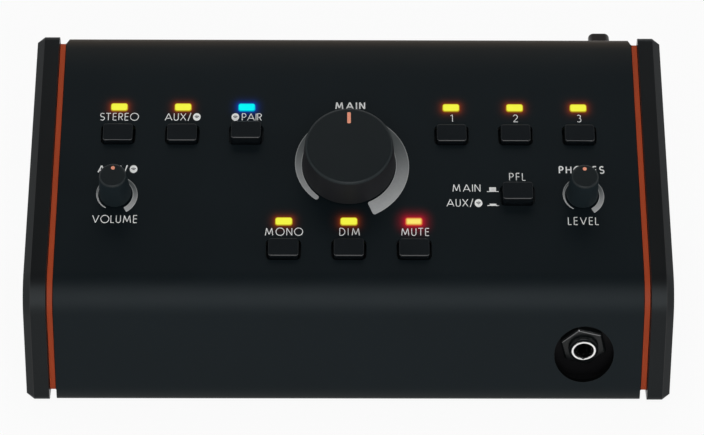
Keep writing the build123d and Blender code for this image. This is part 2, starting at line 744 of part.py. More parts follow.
# Screws of both boards and of the phones socket's bracket
under_board = panel.offset(-board_drop - board_thickness)
with BuildPart() as inner_screws:
    with BuildSketch(under_board):
        with Locations(*standoff_spots):
            Circle(screw_r)
    extrude(amount=board_thickness + thread_depth)
    with BuildSketch(under_board):
        with Locations(*standoff_spots):
            Circle(head_r)
    extrude(amount=-head_height)
    with BuildSketch(on_board):
        with Locations(*main_standoff_spots):
            Circle(screw_r)
    extrude(amount=-(board_thickness + main_standoff))
    with BuildSketch(on_board):
        with Locations(*main_standoff_spots):
            Circle(head_r)
    extrude(amount=head_height)
    with BuildSketch(bracket_top_plane):
        with Locations(*bracket_screw_spots):
            Circle(screw_r)
    extrude(amount=-(bracket_sheet + pan_sheet))
    with BuildSketch(bracket_top_plane):
        with Locations(*bracket_screw_spots):
            Circle(head_r)
    extrude(amount=head_height)
inner_screws.part.label = "inner_screws"
export_step(inner_screws.part, "parts/inner_screws.step")

# Ribbon cable between a header under the control board and one on the main board
upper_header = on_panel(ribbon_x, ribbon_u, -board_drop - board_thickness)
lower_header = Plane(origin=(ribbon_x, row_y, main_board_z))
with BuildPart() as ribbon_headers:
    with BuildSketch(upper_header):
        Rectangle(header_size[0], header_size[1])
    extrude(amount=-header_size[2])
    with BuildSketch(lower_header):
        Rectangle(header_size[0], header_size[1])
    extrude(amount=header_size[2])
ribbon_headers.part.label = "ribbon_headers"
export_step(ribbon_headers.part, "parts/ribbon_headers.step")

ribbon_start = upper_header.offset(-header_size[2]).origin
ribbon_drop = upper_header.offset(-header_size[2] - ribbon_lead - ribbon_bend).origin
ribbon_end = lower_header.offset(header_size[2]).origin
ribbon_rise = lower_header.offset(header_size[2] + ribbon_lead + ribbon_bend).origin
with BuildPart() as ribbon_cable:
    with BuildSketch(Plane.YZ.offset(ribbon_x - ribbon_width / 2)):
        with BuildLine() as ribbon_path:
            stops = [ribbon_start, ribbon_drop, ribbon_rise, ribbon_end]
            FilletPolyline(*[(stop.Y, stop.Z) for stop in stops], radius=ribbon_bend)
        trace(line_width=ribbon_thickness)
    extrude(amount=ribbon_width)
ribbon_cable.part.label = "ribbon_cable"
export_step(ribbon_cable.part, "parts/ribbon_cable.step")

# Relays, capacitors and the wireless module on the main board
relay_pitch = (main_board_half - relay_side - relay_x) / (relay_count - 1)
with BuildPart() as relays:
    with BuildSketch(on_board):
        with Locations(*[(relay_x + n * relay_pitch, row_y) for n in range(relay_count)]):
            Rectangle(relay_size[0], relay_size[1])
    extrude(amount=relay_size[2])
relays.part.label = "relays"
export_step(relays.part, "parts/relays.step")

with BuildPart() as capacitors:
    with BuildSketch(on_board):
        with Locations(*[(x, row_y) for x in capacitor_x]):
            Circle(capacitor_r)
    extrude(amount=capacitor_height)
capacitors.part.label = "capacitors"
export_step(capacitors.part, "parts/capacitors.step")

with BuildPart() as wireless_module:
    with BuildSketch(on_board):
        with Locations((module_side - main_board_half, row_y)):
            Rectangle(module_size[0], module_size[1])
    extrude(amount=module_size[2])
wireless_module.part.label = "wireless_module"
export_step(wireless_module.part, "parts/wireless_module.step")

# ---- Phones socket ----

# Bracket: upright plate behind the front face, with a foot on the pan
with BuildPart() as phones_bracket:
    with BuildSketch(phones_axis.offset(bracket_front)):
        bottom = pan_floor - phones_z
        with Locations((0.0, bottom)):
            Rectangle(2 * bracket_half, bracket_top - bottom, align=(Align.CENTER, Align.MIN))
        Circle(nose_r, mode=Mode.SUBTRACT)
    extrude(amount=-bracket_sheet)
    with BuildSketch(over_pan):
        with Locations((phones_x, bracket_foot_y)):
            Rectangle(2 * bracket_half, bracket_foot, align=(Align.CENTER, Align.MIN))
        with Locations(*bracket_screw_spots):
            Circle(screw_r + screw_clearance, mode=Mode.SUBTRACT)
    extrude(amount=bracket_sheet)
phones_bracket.part.label = "phones_bracket"
export_step(phones_bracket.part, "parts/phones_bracket.step")


def socket(plane, nose_length, nose_radius, body, ring_seat):
    """6.35 mm socket: box body behind the plane, nose in front of it, one long bore."""
    with BuildPart() as jack:
        with BuildSketch(plane):
            Rectangle(body[0], body[1])
        extrude(amount=-body[2])
        with BuildSketch(plane):
            Circle(nose_radius)
        extrude(amount=nose_length)
        with BuildSketch(plane.offset(nose_length)):
            Circle(plug_bore_r)
        extrude(amount=-(nose_length + body[2] - sheet), mode=Mode.SUBTRACT)
        if ring_seat:
            with BuildSketch(plane.offset(nose_length)):
                Circle(ring_r)
            extrude(amount=-ring_seat, mode=Mode.SUBTRACT)
    return jack


body_plane = phones_axis.offset(bracket_front - bracket_sheet)
nose_length = nose_front - bracket_front + bracket_sheet
phones_jack = socket(body_plane, nose_length, nose_r, socket_body, ring_length - ring_lip)
phones_jack.part.label = "phones_jack"
export_step(phones_jack.part, "parts/phones_jack.step")

with BuildPart() as phones_jack_ring:
    with BuildSketch(phones_axis):
        Circle(ring_r)
        Circle(plug_bore_r, mode=Mode.SUBTRACT)
    extrude(amount=-ring_length)
    front = phones_jack_ring.faces().sort_by(Axis.Y)[0]
    fillet(front.edges(), ring_round)
phones_jack_ring.part.label = "phones_jack_ring"
export_step(phones_jack_ring.part, "parts/phones_jack_ring.step")

with BuildPart() as phones_jack_nut:
    with BuildSketch(phones_axis.offset(bracket_front)):
        RegularPolygon(phones_nut_flats / 2, 6, major_radius=False, rotation=phones_nut_turn)
        Circle(nose_r, mode=Mode.SUBTRACT)
    extrude(amount=phones_nut_thickness)
    front = phones_jack_nut.faces().sort_by(Axis.Y)[0]
    chamfer(front.outer_wire().edges(), nut_edge)
phones_jack_nut.part.label = "phones_jack_nut"
export_step(phones_jack_nut.part, "parts/phones_jack_nut.step")

# Contact springs along the top of the phones socket
with BuildPart() as phones_contacts:
    contact_plane = Plane.XY.offset(phones_z + socket_body[1] / 2)
    contact_y = bracket_foot_y + socket_body[2] / 2
    with BuildSketch(contact_plane):
        with Locations(*[(phones_x + n * contact_pitch, contact_y) for n in (-1, 0, 1)]):
            Rectangle(contact_size[0], contact_size[1])
    extrude(amount=contact_size[2])
phones_contacts.part.label = "phones_contacts"
export_step(phones_contacts.part, "parts/phones_contacts.step")

# ---- Rear sockets ----

rear_inner = rear_face.offset(-rear_sheet)
rear_spots = [(-x, socket_z) for x in rear_jack_x]
with BuildPart() as rear_jacks:
    with BuildSketch(rear_inner):
        with Locations(*rear_spots):
            Rectangle(socket_body[0], socket_body[1])
    extrude(amount=-socket_body[2])
    with BuildSketch(rear_inner):
        with Locations(*rear_spots):
            Circle(rear_nose_r)
    extrude(amount=rear_sheet + rear_nose_reach)
    with BuildSketch(rear_face.offset(rear_nose_reach)):
        with Locations(*rear_spots):
            Circle(plug_bore_r)
    extrude(amount=-(rear_nose_reach + socket_body[2]), mode=Mode.SUBTRACT)
rear_jacks.part.label = "rear_jacks"
export_step(rear_jacks.part, "parts/rear_jacks.step")

with BuildPart() as rear_jack_nuts:
    with BuildSketch(rear_face):
        with Locations(*rear_spots):
            RegularPolygon(rear_nut_flats / 2, 6, major_radius=False)
            Circle(rear_nose_r, mode=Mode.SUBTRACT)
    extrude(amount=rear_nut_thickness)
rear_jack_nuts.part.label = "rear_jack_nuts"
export_step(rear_jack_nuts.part, "parts/rear_jack_nuts.step")

aux_z = main_board_z + aux_body[1] / 2
with BuildPart() as aux_jack:
    with BuildSketch(rear_inner):
        with Locations((-aux_x, aux_z)):
            Rectangle(aux_body[0], aux_body[1])
    extrude(amount=-aux_body[2])
    with BuildSketch(rear_inner):
        with Locations((-aux_x, aux_z)):
            Circle(aux_nose_r)
    extrude(amount=rear_sheet + aux_nose_reach)
    with BuildSketch(rear_face.offset(aux_nose_reach)):
        with Locations((-aux_x, aux_z)):
            Circle(aux_bore_r)
    extrude(amount=-aux_bore_depth, mode=Mode.SUBTRACT)
aux_jack.part.label = "aux_jack"
export_step(aux_jack.part, "parts/aux_jack.step")

inlet_z = main_board_z + inlet_body[1] / 2
with BuildPart() as power_inlet:
    with BuildSketch(rear_inner):
        with Locations((-inlet_x, inlet_z)):
            Rectangle(inlet_body[0], inlet_body[1])
    extrude(amount=-inlet_body[2])
    with BuildSketch(rear_inner):
        with Locations((-inlet_x, inlet_z)):
            Circle(inlet_bore_r)
            Circle(inlet_pin_r, mode=Mode.SUBTRACT)
    extrude(amount=-inlet_depth, mode=Mode.SUBTRACT)
power_inlet.part.label = "power_inlet"
export_step(power_inlet.part, "parts/power_inlet.step")

# ---- Power button ----

switch_wall = rear_inner
with BuildPart() as power_switch:
    with BuildSketch(switch_wall):
        with Locations((-power_x, power_switch_top - power_switch_size[1] / 2)):
            Rectangle(power_switch_size[0], power_switch_size[1])
    extrude(amount=-power_switch_size[2])
    with BuildSketch(switch_wall):
        with Locations((-power_x, power_z)):
            Circle(power_stem_r + part_gap)
    extrude(amount=-(power_stem_grip + power_travel[1] + part_gap), mode=Mode.SUBTRACT)
power_switch.part.label = "power_switch"
export_step(power_switch.part, "parts/power_switch.step")

cap_end = rear_y + power_reach - rear_inner_y
cap_start = power_travel[1] + part_gap
with BuildPart() as power_button:
    with BuildSketch(switch_wall.offset(cap_start)):
        with Locations((-power_x, power_z)):
            RectangleRounded(*power_cap, power_cap_corner)
    extrude(amount=cap_end - cap_start)
    fillet(power_button.faces().sort_by(Axis.Y)[-1].edges(), power_cap_round)
    with BuildSketch(switch_wall.offset(cap_start)):
        with Locations((-power_x, power_z)):
            Circle(power_stem_r)
    extrude(amount=-(cap_start + power_stem_grip))
power_button.part.label = "power_button"
export_step(power_button.part, "parts/power_button.step")
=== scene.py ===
import json
from math import cos, degrees, pi, radians, sin

import bmesh
import bpy
from mathutils import Matrix, Vector

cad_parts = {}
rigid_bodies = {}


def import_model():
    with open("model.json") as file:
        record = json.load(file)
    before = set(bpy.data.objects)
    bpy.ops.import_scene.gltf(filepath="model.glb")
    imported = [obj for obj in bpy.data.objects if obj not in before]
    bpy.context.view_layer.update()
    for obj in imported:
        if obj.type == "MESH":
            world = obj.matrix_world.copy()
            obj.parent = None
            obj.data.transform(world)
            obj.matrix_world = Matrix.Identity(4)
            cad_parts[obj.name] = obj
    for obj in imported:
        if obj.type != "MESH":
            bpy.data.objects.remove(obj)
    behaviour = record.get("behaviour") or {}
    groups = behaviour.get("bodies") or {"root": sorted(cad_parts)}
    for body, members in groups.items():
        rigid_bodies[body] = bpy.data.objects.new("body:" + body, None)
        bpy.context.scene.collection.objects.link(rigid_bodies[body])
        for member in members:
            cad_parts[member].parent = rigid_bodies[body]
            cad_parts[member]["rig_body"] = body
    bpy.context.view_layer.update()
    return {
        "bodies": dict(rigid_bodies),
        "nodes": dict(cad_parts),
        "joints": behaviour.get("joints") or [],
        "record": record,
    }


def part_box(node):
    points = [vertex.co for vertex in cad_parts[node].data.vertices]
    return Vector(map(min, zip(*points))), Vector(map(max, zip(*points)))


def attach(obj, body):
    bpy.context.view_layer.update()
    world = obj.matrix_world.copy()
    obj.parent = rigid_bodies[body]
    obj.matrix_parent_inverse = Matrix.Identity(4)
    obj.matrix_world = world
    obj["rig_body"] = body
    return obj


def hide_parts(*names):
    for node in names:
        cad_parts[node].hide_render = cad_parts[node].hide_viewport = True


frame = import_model()
mm = 0.001

# places on the panel: down from its rear edge, out from its middle
layout = {
    "mainKnobDown": 51.7 * mm,   # main knob's centre below the panel's rear edge
    "sideKnobDown": 63.5 * mm,
    "columns": (78.75 * mm, 56.9 * mm, 35.05 * mm),   # each side of the middle
    "pitch": 21.85 * mm,
    "upperLensDown": 29.3 * mm,
    "lowerLensDown": 73.8 * mm,
    "lens": (5.8 * mm, 3.0 * mm),
    "lensCorner": 0.9 * mm,
}
# the sloping panel's own directions and the middle of its rear edge, from the main knob's joint
knobJoint = next(j for j in frame["joints"] if j["name"] == "main_knob_turn")
across = Vector((1, 0, 0))
outward = Vector(knobJoint["axis"]).normalized()
upSlope = outward.cross(across)
knobFoot = Vector(knobJoint["pos_m"])
panelRear = knobFoot + upSlope * layout["mainKnobDown"]
panelFrame = Matrix.Translation(panelRear) @ Matrix((across, upSlope, outward)).transposed().to_4x4()
print("frame loaded:", len(frame["nodes"]), "nodes")

# working in Blender
softAngle = 32          # degrees between faces that still shade as one
mergeDistance = 1e-6
cleaning = {"flat": 0.4, "sharp": 35}       # degrees: faces merged below, edges softened above


def deselectAll():
    if bpy.context.object and bpy.context.object.mode != "OBJECT":
        bpy.ops.object.mode_set(mode="OBJECT")
    bpy.ops.object.select_all(action="DESELECT")


def activate(piece):
    deselectAll()
    piece.select_set(True)
    bpy.context.view_layer.objects.active = piece


def newest(name):
    piece = bpy.context.object
    piece.name = name
    piece.data.name = name
    return piece


def linked(name, data):
    piece = bpy.data.objects.new(name, data)
    bpy.context.scene.collection.objects.link(piece)
    return piece


def putInMesh(piece, matrix):
    # leaves the object at the origin with its place in its mesh
    bpy.context.view_layer.update()
    piece.data.transform(matrix @ piece.matrix_world)
    piece.matrix_world = Matrix.Identity(4)
    return piece


def addModifier(piece, kind, **settings):
    activate(piece)
    modifier = piece.modifiers.new(kind.lower(), kind)
    for key, value in settings.items():
        setattr(modifier, key, value)
    bpy.ops.object.modifier_apply(modifier=modifier.name)


def smooth(piece, angle=softAngle):
    # soft shading over bends and rounded edges, with the flat faces left flat
    activate(piece)
    bpy.ops.object.shade_smooth_by_angle(angle=radians(angle))
    addModifier(piece, "WEIGHTED_NORMAL", keep_sharp=True, weight=100)


def joined(pieces, name):
    activate(pieces[0])
    for piece in pieces:
        piece.select_set(True)
    bpy.ops.object.join()
    return newest(name)


def copied(piece, matrix):
    twin = linked(piece.name, piece.data.copy())
    twin.data.transform(matrix)
    return twin


def paint(piece, finish):
    piece.data.materials.clear()
    piece.data.materials.append(finish.material)


def recolour(piece, finish, test):
    # gives the faces that pass the test another finish
    materials = piece.data.materials
    if finish.material.name not in materials:
        materials.append(finish.material)
    index = materials.find(finish.material.name)
    for face in piece.data.polygons:
        if test(face):
            face.material_index = index


def dress(node, edge, finish, edging, segments):
    # a cleaned copy of a CAD node with softened edges, shown in its place; the edging is the soft edges' finish
    source = frame["nodes"][node]
    piece = linked(node + "_skin", source.data.copy())
    activate(piece)
    if piece.data.has_custom_normals:
        bpy.ops.mesh.customdata_custom_splitnormals_clear()
    bpy.ops.object.mode_set(mode="EDIT")
    bpy.ops.mesh.select_all(action="SELECT")
    bpy.ops.mesh.remove_doubles(threshold=mergeDistance)
    bpy.ops.mesh.dissolve_limited(angle_limit=radians(cleaning["flat"]))
    bpy.ops.mesh.normals_make_consistent(inside=False)
    bpy.ops.object.mode_set(mode="OBJECT")
    paint(piece, finish)
    if edging:
        piece.data.materials.append(edging.material)
    addModifier(piece, "BEVEL", width=edge, segments=segments, limit_method="ANGLE", use_clamp_overlap=True,
                angle_limit=radians(cleaning["sharp"]), material=1 if edging else 0)
    smooth(piece)
    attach(piece, source["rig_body"])
    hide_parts(node)
    return piece


# materials

class Signal:   # a shader socket that can stand in a sum
    def __init__(self, nodes, socket):
        self.nodes, self.socket = nodes, socket

    def math(self, operation, *values):
        return self.nodes.node("ShaderNodeMath", {"operation": operation}, dict(enumerate(values)))

    def __add__(self, other): return self.math("ADD", self, other)
    def __radd__(self, other): return self.math("ADD", other, self)
    def __sub__(self, other): return self.math("SUBTRACT", self, other)
    def __rsub__(self, other): return self.math("SUBTRACT", other, self)
    def __mul__(self, other): return self.math("MULTIPLY", self, other)
    def __rmul__(self, other): return self.math("MULTIPLY", other, self)
    def __truediv__(self, other): return self.math("DIVIDE", self, other)
    def __pow__(self, other): return self.math("POWER", self, other)
    def __gt__(self, other): return self.math("GREATER_THAN", self, other)
    def __lt__(self, other): return self.math("LESS_THAN", self, other)
    def __abs__(self): return self.math("ABSOLUTE", self)


class Nodes:   # a tree of shader nodes, of a material or of the air round the scene
    def __init__(self, tree):
        self.tree = tree

    def node(self, kind, settings={}, inputs={}, output=0):
        made = self.tree.nodes.new(kind)
        for key, value in settings.items():
            setattr(made, key, value)
        for key, value in inputs.items():
            if isinstance(value, Signal):
                self.tree.links.new(value.socket, made.inputs[key])
            else:
                made.inputs[key].default_value = value
        return Signal(self, made.outputs[output])

    def seen(self):
        # 1 to the camera, in reflections and through clear things, 0 for the light that falls on the rest
        rays = ("Is Camera Ray", "Is Glossy Ray", "Is Transmission Ray")
        camera, mirrored, through = (self.node("ShaderNodeLightPath", output=ray) for ray in rays)
        return camera.math("MAXIMUM", camera.math("MAXIMUM", camera, mirrored), through)

    def show(self, outputNode, factor, first, second):
        # mixes two shaders into the tree's last node
        mixed = self.node("ShaderNodeMixShader", inputs={0: factor, 1: first, 2: second})
        self.tree.links.new(mixed.socket, self.tree.nodes[outputNode].inputs[0])


class Finish(Nodes):   # one material, its constants on the shader's own sockets
    def __init__(self, name, **constants):
        self.material = bpy.data.materials.new(name)
        self.material.use_nodes = True
        super().__init__(self.material.node_tree)
        self.shader = self.tree.nodes["Principled BSDF"]
        self.place = self.node("ShaderNodeTexCoord", output="Object")
        for socket, value in constants.items():
            self.shader.inputs[socket.replace("_", " ")].default_value = value

    def drive(self, socket, signal):
        self.tree.links.new(signal.socket, self.shader.inputs[socket])

    def noise(self, scale, detail=2.0, stretch=(1, 1, 1)):
        place = self.node("ShaderNodeMapping", inputs={"Vector": self.place, "Scale": stretch})
        return self.node("ShaderNodeTexNoise", inputs={"Vector": place, "Scale": scale, "Detail": detail})

    def blend(self, factor, first, second):
        colours = {6: first, 7: second, 0: factor}
        return self.node("ShaderNodeMix", {"data_type": "RGBA"}, colours, output=2)

    def bump(self, height, strength, distance):
        values = {"Height": height, "Strength": strength, "Distance": distance}
        self.drive("Normal", self.node("ShaderNodeBump", inputs=values))

    def along(self, direction, origin):
        # how far a point lies along a direction from the origin, in metres
        offset = self.node("ShaderNodeVectorMath", {"operation": "SUBTRACT"}, {0: self.place, 1: origin})
        dot = {0: offset, 1: direction}
        return self.node("ShaderNodeVectorMath", {"operation": "DOT_PRODUCT"}, dot, output="Value")

    def step(self, value, low, high):
        limits = {"Value": value, "From Min": low, "From Max": high}
        return self.node("ShaderNodeMapRange", {"interpolation_type": "SMOOTHSTEP"}, limits)


def shade(colour, factor):
    return (colour[0] * factor, colour[1] * factor, colour[2] * factor, 1)


def powderCoat(name, colour, roughness=0.42, grain=1500, depth=0.012 * mm, specular=0.15, tint=(1, 1, 1),
               sheen=0.03):
    # sprayed and baked paint: fine orange peel, slightly uneven tone
    finish = Finish(name, Specular_IOR_Level=specular, Specular_Tint=(*tint, 1), Sheen_Weight=sheen,
                    Sheen_Roughness=0.35)
    peel = finish.noise(grain, 3.0)
    tone = finish.noise(45, 3.0)
    finish.drive("Base Color", finish.blend(tone, shade(colour, 0.85), shade(colour, 1.15)))
    finish.drive("Roughness", roughness + 0.1 * (peel - 0.5) + 0.06 * (tone - 0.5))
    finish.bump(peel, 0.5, depth)
    return finish


def mouldedPlastic(name, colour, roughness=0.45, grain=2600, depth=0.006 * mm, specular=0.2):
    # spark-eroded mould texture
    finish = Finish(name, Specular_IOR_Level=specular)
    pits = finish.noise(grain, 2.0)
    tone = finish.noise(90, 2.0)
    finish.drive("Base Color", finish.blend(tone, shade(colour, 0.88), shade(colour, 1.12)))
    finish.drive("Roughness", roughness + 0.08 * (pits - 0.5) + 0.05 * (tone - 0.5))
    finish.bump(pits, 0.5, depth)
    return finish


def machinedMetal(name, colour, roughness=0.25, direction=(60, 60, 2500)):
    # turned or drawn metal with fine lines one way
    finish = Finish(name, Metallic=1.0)
    lines = finish.noise(1.0, 3.0, direction)
    tone = finish.noise(120, 2.0)
    finish.drive("Base Color", finish.blend(tone, shade(colour, 0.9), shade(colour, 1.05)))
    finish.drive("Roughness", roughness + 0.12 * (lines - 0.5))
    finish.bump(lines, 0.2, 0.004 * mm)
    return finish


def printedInk(name, colour):
    # screen print, a little uneven in density
    finish = Finish(name, Roughness=0.5, Specular_IOR_Level=0.3)
    density = finish.noise(700, 2.0)
    finish.drive("Base Color", finish.blend(density, shade(colour, 0.86), shade(colour, 1.1)))
    return finish


def boxDistance(finish, dx, dy, half, corner):
    # distance outside a rounded rectangle, negative inside
    qx = (abs(dx) - (half[0] - corner)).math("MAXIMUM", abs(dx) - (half[0] - corner), 0.0)
    qy = (abs(dy) - (half[1] - corner)).math("MAXIMUM", abs(dy) - (half[1] - corner), 0.0)
    return (qx * qx + qy * qy) ** 0.5 - corner


glow = {
    "amber": (0.20, 0.026, 0.0),      # at the lens's edge
    "blue": (0.0, 0.040, 0.33),
    "red": (0.42, 0.0, 0.017),
    "decay": (0.75 * mm, 1.05 * mm),  # a third as bright after this far, amber or blue, then red
    "reach": 6.0 * mm,
}


def lensField(finish):
    # distance outside the nearest lens's window, and which lenses are blue and red
    x = finish.along(across, panelRear)
    down = finish.along(-upSlope, panelRear)
    lower = down > (layout["upperLensDown"] + layout["lowerLensDown"]) / 2
    row = layout["upperLensDown"] + lower * (layout["lowerLensDown"] - layout["upperLensDown"])
    start = layout["columns"][1] * (1 - lower)       # middle column of the upper rows, or the middle of the panel
    fromStart = abs(x) - start
    pitch = layout["pitch"]
    dx = x.math("WRAP", fromStart, pitch / 2, -pitch / 2)
    half = (layout["lens"][0] / 2, layout["lens"][1] / 2)
    gap = boxDistance(finish, dx, down - row, half, layout["lensCorner"])
    inRow = abs(fromStart) < 1.5 * pitch
    isBlue = (x < -layout["columns"][2] / 2 - pitch / 4) * (x > -layout["columns"][2] - pitch / 2) * (1 - lower)
    isRed = (x > pitch / 2) * lower
    return gap, inRow, isBlue, isRed


def addLensGlow(finish):
    # light that the lit lenses spill on the paint round them, faded by the distance from each lens
    gap, inRow, isBlue, isRed = lensField(finish)
    outside = gap.math("MAXIMUM", gap, 0.0)
    decay = glow["decay"][0] + isRed * (glow["decay"][1] - glow["decay"][0])
    fade = gap.math("EXPONENT", -1 * outside / decay) * (1 - finish.step(outside, 0.5 * glow["reach"], glow["reach"]))
    colour = finish.blend(isBlue, (*glow["amber"], 1), (*glow["blue"], 1))
    colour = finish.blend(isRed, colour, (*glow["red"], 1))
    finish.drive("Emission Color", finish.blend(fade * inRow, (0, 0, 0, 1), colour))
    finish.shader.inputs["Emission Strength"].default_value = 1.0


lensLook = {
    "amber_lenses": {"core": (0.905, 0.905, 0.060), "edge": (0.30, 0.12, 0.002), "rim": 0.45 * mm},
    "blue_lens": {"core": (0.001, 0.920, 0.925), "edge": (0.0, 0.16, 0.45), "rim": 0.45 * mm},
    "red_lens": {"core": (0.985, 0.800, 0.160), "edge": (0.55, 0.010, 0.015), "rim": 1.0 * mm},
}


def litLens(node, core, edge, rim):
    # lit from behind: bright middle, deeper colour at the rim
    finish = Finish(node + "_lit", Roughness=0.35, Emission_Strength=1.0, Specular_IOR_Level=0.05)
    inside = lensField(finish)[0]
    cloud = finish.noise(500, 1.0)
    middle = finish.blend(cloud, shade(core, 0.95), shade(core, 1.03))
    finish.drive("Emission Color", finish.blend(finish.step(inside, -rim, 0.15 * mm), middle, (*edge, 1)))
    finish.shader.inputs["Base Color"].default_value = shade(core, 0.02)
    return finish


def glossEdge(name, colour, roughness, specular=1.0, coat=1.0):
    # a polished rounding
    finish = Finish(name, Specular_IOR_Level=specular, Coat_Weight=coat, Coat_Roughness=0.08, Coat_IOR=1.8)
    tone = finish.noise(300, 2.0)
    finish.drive("Base Color", finish.blend(tone, shade(colour, 0.9), shade(colour, 1.1)))
    finish.drive("Roughness", roughness + 0.05 * (tone - 0.5))
    return finish


def plainFinish(kind, name, colour, **more):
    return {"coat": powderCoat, "plastic": mouldedPlastic, "metal": machinedMetal}[kind](name, colour, **more)


coolGloss = (0.86, 0.96, 1.0)
slotFinishes = {
    "shell_paint": ("coat", (0.0030, 0.0058, 0.0076), {"tint": coolGloss}),
    "cheek_paint": ("coat", (0.0056, 0.0060, 0.0064), {"roughness": 0.35, "specular": 0.2, "tint": coolGloss}),
    "spacer_paint": ("coat", (0.50, 0.074, 0.022), {"roughness": 0.45}),
    "pan_metal": ("coat", (0.008, 0.008, 0.009), {"roughness": 0.55}),
    "rear_paint": ("coat", (0.0030, 0.0058, 0.0076), {"tint": coolGloss}),
    "screw_steel": ("metal", (0.12, 0.12, 0.125), {"roughness": 0.35}),
    "foot_rubber": ("plastic", (0.012, 0.012, 0.012), {"roughness": 0.85, "grain": 900, "depth": 0.03 * mm}),
    "knob_black": ("plastic", (0.0046, 0.0082, 0.0098), {"roughness": 0.42, "specular": 0.22}),
    "pointer_salmon": ("plastic", (0.92, 0.36, 0.23), {"roughness": 0.6}),
    "shaft_aluminium": ("metal", (0.75, 0.75, 0.76), {}),
    "pot_grey": ("plastic", (0.13, 0.13, 0.14), {}),
    "nut_plated": ("metal", (0.62, 0.62, 0.60), {"roughness": 0.3}),
    "button_black": ("plastic", (0.0056, 0.0080, 0.0100), {"roughness": 0.25, "specular": 0.20, "depth": 0.002 * mm}),
    "switch_plastic": ("plastic", (0.02, 0.02, 0.022), {}),
    "led_white": ("plastic", (0.75, 0.75, 0.70), {"roughness": 0.3}),
    "standoff_brass": ("metal", (0.75, 0.52, 0.22), {}),
    "header_black": ("plastic", (0.015, 0.015, 0.015), {}),
    "ribbon_grey": ("plastic", (0.35, 0.36, 0.38), {}),
    "relay_white": ("plastic", (0.7, 0.7, 0.66), {}),
    "capacitor_black": ("plastic", (0.012, 0.013, 0.02), {"roughness": 0.25}),
    "module_shield": ("metal", (0.6, 0.6, 0.58), {"roughness": 0.35}),
    "socket_black": ("plastic", (0.0010, 0.0024, 0.0032), {"roughness": 0.45, "specular": 0.045}),
    "socket_nut_black": ("plastic", (0.0070, 0.0084, 0.0088), {"roughness": 0.25, "specular": 0.24}),
    "ring_chrome": ("metal", (0.86, 0.86, 0.85), {"roughness": 0.16}),
    "contact_brass": ("metal", (0.72, 0.52, 0.25), {}),
    "power_gloss": ("plastic", (0.010, 0.007, 0.006), {"roughness": 0.16, "depth": 0.001 * mm, "specular": 0.16}),
}
finishes = {slot: plainFinish(kind, slot, colour, **more) for slot, (kind, colour, more) in slotFinishes.items()}
addLensGlow(finishes["shell_paint"])


def paintedEdgeHighlight(finish, direction, origin, colour, reach):
    # painted highlight: the paint takes a lighter colour towards an edge, by the distance in from it, for the light
    # reflected there
    highlightShare = finish.step(finish.along(direction, origin), reach, -0.2 * mm)
    plain = Signal(finish, finish.shader.inputs["Base Color"].links[0].from_socket)
    finish.drive("Base Color", finish.blend(highlightShare ** 2, plain, (*colour, 1)))


upward = Vector((0, 0, 1))
shellLow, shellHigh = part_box("top_shell")
paintedHighlightBands = (   # painted highlights towards the shell's rear edge and foot: inward direction, a point on the edge, colour there, reach
    (-upSlope, panelRear, (0.0160, 0.0165, 0.0155), 22 * mm),
    (-upSlope, panelRear, (0.092, 0.072, 0.055), 7.5 * mm),
    (upward, Vector(shellLow), (0.030, 0.031, 0.031), 7.5 * mm),
)
for band in paintedHighlightBands:
    paintedEdgeHighlight(finishes["shell_paint"], *band)

board = Finish("solder_mask", Roughness=0.35)
tracks = board.node("ShaderNodeTexBrick", {"offset": 0.3}, {
    "Vector": board.place, "Scale": 160.0, "Mortar Size": 0.06, "Color1": (0.008, 0.07, 0.03, 1),
    "Color2": (0.01, 0.085, 0.036, 1), "Mortar": (0.03, 0.16, 0.07, 1)})
board.drive("Base Color", tracks)
finishes["board_green"] = board
slotOf = {part["node"]: part["material_slot"] for part in frame["record"]["subparts"]}
for node, look in lensLook.items():
    finishes[slotOf[node]] = litLens(node, **look)
for node, slot in slotOf.items():
    paint(frame["nodes"][node], finishes[slot])
print("materials made:", len(finishes))

# casing and controls, with softened edges
edges = {
    "top_shell": 0.28 * mm, "left_cheek": 0.45 * mm, "right_cheek": 0.45 * mm, "left_spacer": 0.12 * mm,
    "right_spacer": 0.12 * mm, "base_pan": 0.1 * mm, "rear_panel": 0.12 * mm, "main_knob": 0.1 * mm,
    "volume_knob": 0.08 * mm, "phones_knob": 0.08 * mm, "phones_jack_nut": 0.22 * mm, "rear_jack_nuts": 0.2 * mm,
    "rear_jacks": 0.12 * mm, "phones_jack": 0.1 * mm, "power_button": 1.1 * mm, "rubber_feet": 0.1 * mm,
}
edges.update({body: 0.32 * mm for body in frame["bodies"] if body.endswith("_button") and body != "power_button"})
edgings = {
    "button_black": glossEdge("button_edge", (0.004, 0.005, 0.006), 0.10, 0.75, 0.0),
    "power_gloss": glossEdge("power_edge", (0.004, 0.004, 0.005), 0.10),
    "socket_nut_black": glossEdge("nut_edge_highlight", (0.020, 0.021, 0.022), 0.08),
    "shell_paint": powderCoat("shell_edge", (0.0036, 0.0066, 0.0084), 0.30, specular=0.45, tint=coolGloss,
                              sheen=0.06),
    "cheek_paint": powderCoat("cheek_edge", (0.0070, 0.0072, 0.0078), 0.32, specular=0.40, sheen=0.06),
}
edgeSegments = {"fine": 2, "wide": 5}      # wide over 1 mm
skins = {}
for node, edge in edges.items():
    segments = edgeSegments["wide" if edge > mm else "fine"]
    skins[node] = dress(node, edge, finishes[slotOf[node]], edgings.get(slotOf[node]), segments)
for node, shown in frame["nodes"].items():
    if not shown.hide_render:
        activate(shown)
        bpy.ops.object.shade_smooth_by_angle(angle=radians(softAngle))
